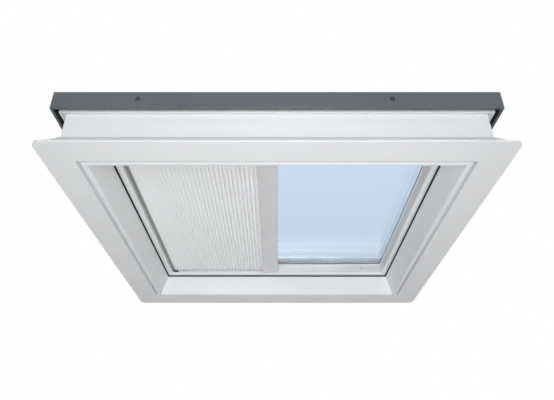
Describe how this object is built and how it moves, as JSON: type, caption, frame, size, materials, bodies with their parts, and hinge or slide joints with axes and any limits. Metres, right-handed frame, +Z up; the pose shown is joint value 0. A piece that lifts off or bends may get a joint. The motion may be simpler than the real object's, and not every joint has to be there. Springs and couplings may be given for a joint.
{
  "type": "roof skylight",
  "caption": "Square flat-roof skylight: white flanged kerb, hinged insulated-glass sash, dark skirt with a flat glass cover, and a pleated blind drawn by a sliding bar.",
  "frame": {"origin": "centre of the opening on the flange's underside", "axes": "+Z up out of the roof, -Y the side that opens, +Y the hinge side, -X the side the blind draws from"},
  "size_m": [1.1, 1.1, 0.1575],
  "materials": {
    "white_pvc": "smooth satin PVC",
    "black_rubber": "matt rubber",
    "grey_cover": "fine-textured powder coat",
    "anodised_aluminium": "natural anodised",
    "zinc_steel": "zinc plated",
    "window_glass": "clear float glass",
    "cover_sheet_glass": "clear toughened glass",
    "black_plastic": "moulded",
    "white_cloth": "pleated non-woven cloth",
    "white_plastic": "moulded"
  },
  "bodies": {
    "frame": {"base_frame": "white_pvc", "frame_seal": "black_rubber", "hinge_base_leaves": "zinc_steel", "hinge_pins": "zinc_steel", "hinge_base_screws": "zinc_steel", "opener_housing": "anodised_aluminium", "opener_end_caps": "black_plastic"},
    "sash": {"sash_frame": "white_pvc", "glazing_beads": "white_pvc", "inner_gasket": "black_rubber", "outer_gasket": "black_rubber", "cover_gasket": "black_rubber", "edge_sealant": "black_rubber", "cover_frame": "grey_cover", "blind_rail_near": "anodised_aluminium", "blind_rail_far": "anodised_aluminium", "blind_end_rail": "anodised_aluminium", "spacer_bar": "anodised_aluminium", "hinge_sash_leaves": "zinc_steel", "hinge_sash_screws": "zinc_steel", "cover_screws": "zinc_steel", "rail_screws": "zinc_steel", "opener_bracket": "zinc_steel", "chain_end": "zinc_steel", "inner_pane": "window_glass", "outer_pane": "window_glass", "cover_glass": "cover_sheet_glass", "cover_plugs": "black_plastic", "setting_blocks": "black_plastic", "end_rail_clips": "black_plastic", "blind_cloth": "white_cloth"},
    "blind_bar": {"blind_bar": "anodised_aluminium", "bar_glider_near": "black_plastic", "bar_glider_far": "black_plastic", "cloth_strip": "white_plastic"}
  },
  "joints": [
    {"name": "sash_hinge", "type": "hinge", "parent": "frame", "child": "sash", "pos_m": [0, 0.486, 0.133], "axis": [-1, 0, 0], "range_deg": [0, 8.5]},
    {"name": "blind_slide", "type": "slide", "parent": "sash", "child": "blind_bar", "axis": [1, 0, 0], "range_m": [-0.295, 0.4], "deforming": ["blind_cloth"]}
  ]
}
